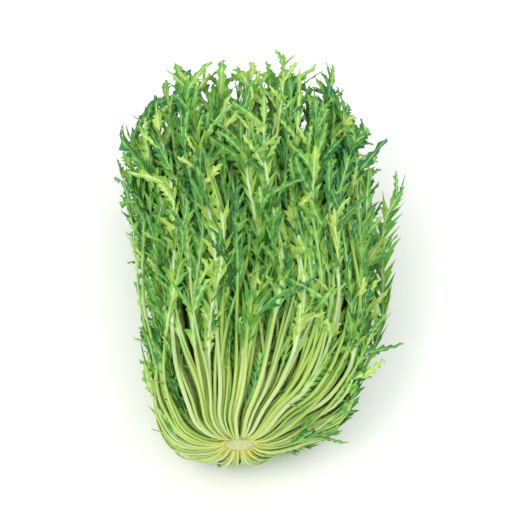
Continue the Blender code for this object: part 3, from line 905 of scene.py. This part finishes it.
def model_leaves():
    """The model's rings of leaves, with its own draws in its own order."""
    draw = random.Random(HEAD_SEED)
    rings = []
    for ring in range(RINGS):
        rho = (ring + 0.5) / RINGS
        share = rho * RINGS / (RINGS - 0.5)
        count = max(1, round(OUTER_RING_LEAVES * share**CROWDING))
        offset = draw.uniform(0.0, CIRCLE)
        leaves = []
        for n in range(count):
            phi = offset + CIRCLE * n / count
            short = draw.random() ** 2 * (0.12 + 0.40 * rho**2)
            leaf = {"ring": ring, "rho": rho, "phi": phi}
            leaf["reach"] = envelope(rho, phi) * (1.0 - short) - END_ROOM
            leaf["lift"] = CLEAR + (0.5 * SHEATH_THICKNESS if count > 1 else 0.0)
            leaf["curl"] = draw.uniform(0.0, 1.0) * CURL * (1.0 + math.cos(phi)) * rho**3
            leaf["roll"] = LEAF_ROLL + math.radians(draw.uniform(-5.0, 5.0))
            leaf["fold"] = draw.uniform(0.02, 0.15)
            leaf["bare"] = draw.uniform(0.31, 0.40)
            for _ in range(MODEL_LOBES):
                draw.uniform(0.55, 1.0)
            leaf["width"] = draw.uniform(0.82, 1.0)
            leaf["stout"] = draw.uniform(0.9, 1.08)
            draw.choice([0, 1])  # the side of the model's first lobe
            leaves.append(leaf)
        rings.append(leaves)
    turns = [abs(math.remainder(leaf["phi"] - STRAY_LEAF["angle"], CIRCLE)) for leaf in rings[-1]]
    aside = rings[-1][turns.index(min(turns))]
    aside.update(reach=STRAY_LEAF["reach"], curl=STRAY_LEAF["curl"], roll=STRAY_LEAF["roll"])
    aside["width"] = STRAY_WIDTH
    return rings


rings = model_leaves()
print("leaves in the model's rings:", [len(leaves) for leaves in rings])

# %% [markdown]
# ## The sheaths
# Neighbouring stalks of one shoot join in a short sheath on the crown. It is a rounded band, part
# of the way round the crown's dome, worked out as an ellipse carried round the axis.

# %% Sheath
SHEATH_LENGTH = 0.0044
SHEATH_END = 0.05
SHEATH_MAP_SCALE = 60.0


def sheath(leaves):
    """A closed band: a loop of twelve points on an ellipse, carried round the crown's axis."""
    place, normal = dome(leaves[0]["rho"], leaves[0]["lift"])
    across = np.array([-normal[1], normal[0]])
    first, last = leaves[0]["phi"] - SHEATH_END, leaves[-1]["phi"] + SHEATH_END
    turns = np.linspace(first, last, 5 * len(leaves))
    angle = -np.arange(LOOP) * CIRCLE / LOOP
    ring = place + 0.5 * SHEATH_LENGTH * np.cos(angle)[:, None] * across
    ring = ring + 0.5 * SHEATH_THICKNESS * np.sin(angle)[:, None] * normal
    along = np.broadcast_to(ring[:, 0], (len(turns), LOOP))
    out = ring[:, 1][None, :]
    aside, height = out * np.cos(turns)[:, None], CROWN_HEIGHT + out * np.sin(turns)[:, None]
    grid = np.stack([aside, along, height], -1)
    tip = grid[-1].mean(0, keepdims=True)
    points = np.concatenate([grid.reshape(-1, 3), tip]) + crown_foot
    paint_values = {"blade": 0.0, "across": 0.4, "lobe": 1.0, "along": 0.0, "tone": 0.5, "inner": 0.0}
    numbers = spread_numbers(len(points), **paint_values)
    return points, loft_faces(len(turns)), numbers, points[:, [0, 2]] * SHEATH_MAP_SCALE


# %% Fine leaves for every shoot of the model
habits = np.random.default_rng(11)
shapes = np.random.default_rng(12)
for ring, leaves in enumerate(rings):
    for leaf in leaves:
        leaf.update(habit(habits, 0.0))
        leaf["width"] *= FINE_WIDTH * BLADE_HALF_WIDTH * habits.uniform(0.75, 1.3)
        # Leaves of the inner rings lie deeper in the head, so their tone is made lower: a darker,
        # greener colour as painted shade.
        leaf["tone"] *= 0.5 + 0.5 * leaf["rho"]
        leaf["bare"] += habits.uniform(0.02, 0.10)
        leaf["leaflets_from"] = 0.45 * (1.0 - leaf["rho"])
        leaf["held"] = leaf["curl"] < STRAY_LEAF["curl"]
        if leaf["held"]:
            leaf["reach"] -= TIP_LOBES
        else:
            leaf.update(stray=0.0, twist=0.7, bend=np.zeros(2), leaflet_size=0.7)
        if ring < HIDDEN_RINGS:
            leaf.update(pitch=1.5 * leaf["pitch"], leaflets=6, leaflets_from=0.55)
        elif math.sin(leaf["phi"]) < UNDERSIDE:
            leaf.update(pitch=1.3 * leaf["pitch"], leaflets=5)
        leaf["fold"] += habits.uniform(-0.25, 0.35)
    slot = "heart_green" if ring < HEART_RINGS else "leaf_green"
    shoots = math.ceil(len(leaves) / LEAVES_PER_SHOOT)
    bounds = [round(k * len(leaves) / shoots) for k in range(shoots + 1)]
    for k in range(shoots):
        node = f"ring{ring + 1}_shoot{k + 1}"
        own = leaves[bounds[k] : bounds[k + 1]]
        extra = [sheath(own)] if len(own) > 1 else []
        add_leaves(node + "_leaves", own, shapes, slot, extra, node)
    print(f"ring {ring + 1}: {len(leaves)} leaves in {shoots} shoots")

# %% [markdown]
# ## Leaves between the model's leaves
# A real head has more leaves than a model made of solids can hold, and they cross. These follow the
# same flow, so they fill the same bowl and the same brush, but they stray further round the head.
# They are set out in sectors round the axis, one object for each.

# %% Thinner leaves between the others
SECTORS = 12
LONG_LEAVES, FILLING_LEAVES, SHORT_LEAVES = 8, 10, 7  # in each sector
TOP_LEAVES, HEART_LEAVES = 22, 8  # in all
TOP_FROM, TOP_TO = math.radians(40), math.radians(142)
TOP_RIGHT_LONGER = 0.014
SUNK = -0.0012  # an added leaf starts a little inside the crown's skin


def place_leaf(leaf, rho, phi, lift=SUNK):
    """Where an added leaf leaves the crown, and the ring that it counts as."""
    leaf.update(rho=rho, phi=phi, ring=rho * RINGS - 0.5, lift=lift)


def long_leaf(rng, phi):
    """A slender leaf somewhere in the flow, most often near the outside."""
    rho = rng.uniform(0.22, 1.0) ** 0.6
    leaf = habit(rng, 1.0)
    place_leaf(leaf, rho, phi)
    leaf.update(reach=envelope(rho, phi) * rng.uniform(0.66, 1.03) - 0.004 - TIP_LOBES)
    leaf.update(curl=rng.uniform(0.0, 1.2) * rho**3)
    leaf.update(roll=rng.normal(0.15, 0.6), fold=rng.uniform(-0.2, 0.6), bare=rng.uniform(0.28, 0.47))
    leaf.update(width=BLADE_HALF_WIDTH * rng.uniform(0.75, 1.35), stout=rng.uniform(0.62, 0.95))
    if math.sin(phi) < UNDERSIDE:
        leaf.update(pitch=1.4 * leaf["pitch"], leaflets=4)
    # As with the model's leaves, a lower tone nearer the axis is painted shade deep in the head.
    leaf["tone"] *= 0.5 + 0.5 * rho
    return leaf


def filling_leaf(rng, phi):
    """A thin leaf with a long stalk and a small blade, which closes the gaps in the bowl."""
    rho = rng.uniform(0.30, 1.0) ** 0.4
    leaf = habit(rng, 0.8)
    place_leaf(leaf, rho, phi, rng.uniform(SUNK, 0.0010))
    leaf.update(reach=rng.uniform(0.13, 0.27), curl=rng.uniform(0.0, 0.6), roll=rng.normal(0.0, 0.6))
    leaf.update(fold=rng.uniform(0.0, 0.6), bare=rng.uniform(0.42, 0.66))
    leaf["pitch"] = rng.uniform(0.009, 0.013)
    leaf.update(width=BLADE_HALF_WIDTH * rng.uniform(0.6, 0.9), stout=rng.uniform(0.55, 0.95))
    leaf.update(leaflets=3, leaflet_size=0.7)
    # A lower tone nearer the axis paints the shade deep in the bowl's gaps, darker and greener.
    leaf["tone"] *= 0.4 + 0.6 * rho
    return leaf


def short_leaf(rng, phi):
    """A young leaf that ends among the stalks, with a small dark blade."""
    rho = rng.uniform(0.62, 1.0)
    leaf = habit(rng, 0.6)
    place_leaf(leaf, rho, phi)
    leaf["tone"] = rng.uniform(0.0, 0.45)
    leaf.update(reach=rng.uniform(0.03, 0.18), curl=0.0, roll=rng.normal(0.0, 0.5))
    leaf.update(fold=rng.uniform(0.1, 0.5), bare=rng.uniform(0.32, 0.48))
    leaf["pitch"] = rng.uniform(0.006, 0.009)
    leaf.update(width=BLADE_HALF_WIDTH * rng.uniform(0.6, 1.1), stout=rng.uniform(0.4, 0.65))
    leaf.update(leaflets=4, leaflet_size=0.55, bend=rng.normal(0.0, 0.004, 2))
    return leaf


# %% [markdown]
# ## Leaves that stand out of the head
# A dozen leaves break the head's outline. A draw would hardly put them in the right places, so each
# has a row of its own: where it leaves the crown, how far it reaches and how it bends.

# %% Leaves that stand out of the head
SPECIAL_LEAVES = {
    # name: share of the dome, angle in degrees, reach, bend sideways, bend outward, bare, width, stout
    "forked": (0.93, 108, 0.340, 0.0340, -0.0010, 0.70, 0.012, 1.0),
    "broad_at_top": (0.93, 60, 0.312, -0.0130, -0.0070, 0.84, 0.015, 0.9),
    "bent_over": (0.97, 36, 0.276, 0.0300, -0.0040, 0.80, 0.011, 1.1),
    "hooked": (0.90, 78, 0.342, -0.0063, -0.0020, 0.84, 0.005, 0.8),
    "arched": (0.98, 22, 0.124, 0.0014, 0.0030, 0.60, 0.008, 0.8),
    "low_right": (0.98, 5, 0.008, 0.0200, 0.0090, 0.60, 0.010, 0.6),
    "left_1": (0.98, 176, 0.115, 0.0060, -0.0010, 0.45, 0.006, 0.6),
    "left_2": (0.97, 168, 0.095, 0.0050, 0.0000, 0.45, 0.006, 0.6),
    "left_3": (0.98, 184, 0.070, 0.0060, 0.0000, 0.45, 0.006, 0.6),
    "left_4": (0.98, 172, 0.040, 0.0060, 0.0010, 0.45, 0.005, 0.5),
    "left_5": (0.98, 165, 0.262, 0.0000, 0.0170, 0.55, 0.009, 0.8),
    "left_6": (0.98, 158, 0.298, 0.0060, 0.0040, 0.60, 0.008, 0.8),
}


def special_leaf(rng, rho, degrees, reach, bend_side, bend_out, bare, width, stout):
    """A leaf that stands out of the head, with its own bend instead of a drawn one."""
    leaf = habit(rng, 0.0)
    place_leaf(leaf, rho, math.radians(degrees))
    leaf.update(reach=reach, curl=0.0, held=False, stray=0.0, roll=0.1, twist=0.0)
    leaf.update(bend=np.array([bend_side, bend_out]), fold=0.1, bare=bare, width=width, stout=stout)
    leaf.update(lean=1.0, leaflets=4, leaflet_size=0.8, end=1.2)
    leaf.update(pitch=min(leaf["pitch"], 0.008 + 0.03 * reach), tone=rng.uniform(0.15, 0.55))
    return leaf


special_draw = np.random.default_rng(41)
standing = {name: special_leaf(special_draw, *row) for name, row in SPECIAL_LEAVES.items()}
standing["bent_over"]["bend_from"] = LATE_BEND_FROM
add_leaves("leaves_standing_out", list(standing.values()), special_draw)
print("leaves that stand out:", len(standing))

# %% [markdown]
# ## The head's end and its heart
# Many leaf ends stand close together on the upper side of the head's end, more than a draw over the
# whole head gives, so some leaves are drawn for that place alone. A few plain ones stand near the
# axis, so that the head isn't hollow when it is seen from its open end.

# %% Leaves at the end, in the heart and between the others


def top_leaf(rng, phi):
    """A leaf of the upper side that reaches the head's end, where many ends stand close together."""
    rho = rng.uniform(0.75, 1.0)
    leaf = habit(rng, 1.0)
    place_leaf(leaf, rho, phi)
    longer = TOP_RIGHT_LONGER if phi < 0.5 * math.pi else 0.0
    leaf.update(curl=0.0, reach=envelope(rho, phi) * rng.uniform(0.83, 0.99) + longer - TIP_LOBES)
    leaf.update(roll=rng.normal(0.1, 0.5))
    leaf.update(fold=rng.uniform(-0.2, 0.5), bare=rng.uniform(0.46, 0.60), end=rng.uniform(0.8, 1.7))
    leaf.update(width=BLADE_HALF_WIDTH * rng.uniform(0.75, 1.15), stout=rng.uniform(0.6, 0.9))
    leaf.update(leaflets=7, leaflets_from=0.45)
    return leaf


def heart_leaf(rng, phi):
    """A plain leaf near the axis, which closes the view into the head from its open end."""
    leaf = habit(rng, 0.8)
    rho = rng.uniform(0.15, 0.60)
    place_leaf(leaf, rho, phi)
    leaf.update(curl=0.0, roll=rng.normal(0.0, 0.8))
    leaf.update(reach=HEAD_REACH * rng.uniform(0.80, 0.96) - TIP_LOBES, fold=rng.uniform(0.0, 0.4))
    leaf.update(bare=rng.uniform(0.55, 0.66), width=BLADE_HALF_WIDTH * rng.uniform(0.9, 1.4), stout=0.7)
    leaf.update(leaflets=6, leaflets_from=0.5)
    return leaf


extra_draw = np.random.default_rng(22)
ends = [top_leaf(extra_draw, extra_draw.uniform(TOP_FROM, TOP_TO)) for _ in range(TOP_LEAVES)]
add_leaves("leaves_on_top", ends, extra_draw)

heart_draw = np.random.default_rng(31)
heart = [heart_leaf(heart_draw, CIRCLE * k / HEART_LEAVES) for k in range(HEART_LEAVES)]
add_leaves("leaves_in_the_heart", heart, heart_draw)

kinds = [long_leaf] * LONG_LEAVES + [filling_leaf] * FILLING_LEAVES + [short_leaf] * SHORT_LEAVES
for sector in range(SECTORS):
    more = [kind(extra_draw, CIRCLE / SECTORS * (sector + extra_draw.random())) for kind in kinds]
    add_leaves(f"leaves_between_{sector + 1:02d}", more, extra_draw)
print("leaves added between the others:", SECTORS * len(kinds))

# %% [markdown]
# ## The crown
# The crown is the short stump that the root was cut from. Its cut face is pale and damp, with the
# faint curved marks of cut leaf bases, and darker at the rim. It is a turned shape: a profile in
# (distance along the axis, distance out), carried round with a slightly uneven radius.

# %% Crown paint
CUT_PALE, CUT_YELLOW = screen(212, 216, 172), screen(174, 186, 100)
CRESCENT, CUT_RIM = screen(176, 176, 92), screen(150, 152, 62)
SIDE_PALE, SIDE_GREEN = screen(150, 150, 68), screen(84, 110, 46)


def crown_paint():
    """Pale cream with greener patches, thin marks from the edges of cells, and a darker rim."""
    paint = Paint("crown_cream", Specular_IOR_Level=0.4)
    rim, face = paint.attribute("across"), paint.attribute("blade")
    place = paint.node("ShaderNodeTexCoord", output="Object")
    patches = paint.noise(place, 260.0, detail=4.0, roughness=0.6)
    grain = paint.noise(place, 1400.0, detail=3.0)
    settings, values = {"feature": "DISTANCE_TO_EDGE"}, {"Vector": place, "Scale": 230.0}
    line = paint.node("ShaderNodeTexVoronoi", settings, values, "Distance").step(0.10, 0.02)
    cut = paint.mix(CUT_PALE, CUT_YELLOW, (patches * 1.8 - 0.5).clamp())
    cut = paint.mix(cut, CRESCENT, line * 0.6)
    cut = paint.mix(cut, CUT_RIM, rim.step(0.72, 1.0) * 0.75)
    side = paint.mix(SIDE_PALE, SIDE_GREEN, patches)
    colour, roughness = paint.mix(side, cut, face), 0.5 + 0.2 * grain
    return paint.finish(colour, roughness, patches * 0.7 + grain * 0.3 - line * 0.5, 0.6, 0.0008)


# %% Crown
CROWN_TURNS = 96
FLAT_SHARE = 0.94  # of the radius, where the cut face ends and the rounded rim begins
FACE_BULGE, RIM_DEPTH = 0.0006, 0.0007
MARK_HEIGHT = 0.00018
CROWN_MAP_SCALE = 40.0


def build_crown():
    """The profile: the cut face in rings, a rounded rim, and the dome. Radius times 1 + small sines."""
    face = np.linspace(0.04, FLAT_SHARE, 12)
    rim = np.linspace(0.0, 0.5 * math.pi, 5)[1:]
    side = np.array([dome(rho)[0] for rho in np.linspace(0.96, 0.02, 24)])
    rim_along = FACE_BULGE + RIM_DEPTH * (1.0 - np.cos(rim))
    rim_out = CROWN_RADIUS * (FLAT_SHARE + (1.0 - FLAT_SHARE) * np.sin(rim))
    along = np.concatenate([FACE_BULGE * face**2, rim_along, side[:, 0]])
    out = np.concatenate([CROWN_RADIUS * face, rim_out, side[:, 1]])
    along[: len(face)] -= CUT_FACE_STEP
    turn = np.arange(CROWN_TURNS) * CIRCLE / CROWN_TURNS
    uneven = 1.0 + 0.045 * np.sin(2.0 * turn + 0.9) + 0.030 * np.sin(3.0 * turn + 0.5)
    uneven = uneven + 0.018 * np.sin(7.0 * turn + 2.0)
    radius = out[:, None] * uneven
    marks = MARK_HEIGHT * np.sin(5.0 * turn + 1800.0 * radius) * (along < 0.0008)[:, None]
    aside, height = radius * np.cos(turn), CROWN_HEIGHT + radius * np.sin(turn)
    grid = np.stack([aside, along[:, None] + marks, height], axis=-1)
    poles = np.array([[0.0, along[0], CROWN_HEIGHT], [0.0, CROWN_DEPTH, CROWN_HEIGHT]])
    points = np.concatenate([grid.reshape(-1, 3), poles]) + crown_foot
    rows = len(along)
    i, j = np.meshgrid(np.arange(rows - 1), np.arange(CROWN_TURNS), indexing="ij")
    k = (j + 1) % CROWN_TURNS
    a, b = i * CROWN_TURNS + j, i * CROWN_TURNS + k
    c, d = b + CROWN_TURNS, a + CROWN_TURNS
    around, beside = np.arange(CROWN_TURNS), (np.arange(CROWN_TURNS) + 1) % CROWN_TURNS
    low, high = len(points) - 2, len(points) - 1
    last = (rows - 1) * CROWN_TURNS
    faces = np.concatenate([
        np.stack([a, c, b], -1).reshape(-1, 3), np.stack([a, d, c], -1).reshape(-1, 3),
        np.stack([np.full(CROWN_TURNS, low), around, beside], -1),
        np.stack([np.full(CROWN_TURNS, high), last + beside, last + around], -1),
    ])
    spread = np.repeat(out / CROWN_RADIUS, CROWN_TURNS)
    on_face = np.repeat((along < 0.0016).astype(float), CROWN_TURNS)
    numbers = {"across": np.append(spread, [0.0, 0.0]), "blade": np.append(on_face, [1.0, 0.0])}
    own_map = points[:, [0, 2]] * CROWN_MAP_SCALE
    return make_mesh("crown_stump", points, faces, numbers, own_map, crown_paint())


crown = build_crown()
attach(crown, "root")
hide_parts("crown")
print("crown faces:", len(crown.data.polygons))

# %% [markdown]
# ## Floor and light
# The picture has a bare white ground and soft light from all sides. A pale floor, a pale sky and
# two large lamps give that: one from the upper left for form, and a weaker one from the right.

# %% Floor, sky and lamps
FLOOR_SIZE = 8.0
SKY_STRENGTH = 1.14
LAMPS = {  # name: place, size, power, colour
    "key_lamp": ((-1.3, -0.7, 2.1), 1.2, 16.0, (1.0, 0.985, 0.95)),
    "side_lamp": ((1.7, 0.9, 1.5), 1.4, 10.0, (0.94, 0.97, 1.0)),
}


def make_floor():
    paint = Paint("floor", Specular_IOR_Level=0.2)
    place = paint.node("ShaderNodeTexCoord", output="Object")
    grain = paint.noise(place, 300.0)
    paper = paint.mix(screen(247, 247, 246), screen(250, 250, 250), grain)
    paint.finish(paper, 0.85, grain, 0.05, 0.0002)
    half = 0.5 * FLOOR_SIZE
    mesh = bpy.data.meshes.new("floor")
    corners = [(-half, -half, 0.0), (half, -half, 0.0), (half, half, 0.0), (-half, half, 0.0)]
    mesh.from_pydata(corners, [], [(0, 1, 2, 3)])
    mesh.materials.append(paint.material)
    floor = bpy.data.objects.new("floor", mesh)
    bpy.context.scene.collection.objects.link(floor)


def make_lamp(name, place, size, power, colour):
    data = bpy.data.lights.new(name, "AREA")
    data.size, data.energy, data.color = size, power, colour
    lamp = bpy.data.objects.new(name, data)
    lamp.location = place
    lamp.rotation_euler = (aim - Vector(place)).to_track_quat("-Z", "Y").to_euler()
    bpy.context.scene.collection.objects.link(lamp)


make_floor()
for name, values in LAMPS.items():
    make_lamp(name, *values)
world = bpy.data.worlds.new("sky")
world.use_nodes = True
sky = world.node_tree.nodes["Background"].inputs
sky["Color"].default_value = (1.0, 1.0, 1.0, 1.0)
sky["Strength"].default_value = SKY_STRENGTH
bpy.context.scene.world = world
print("lamps:", list(LAMPS))
bpy.context.scene.view_settings.view_transform = "Standard"
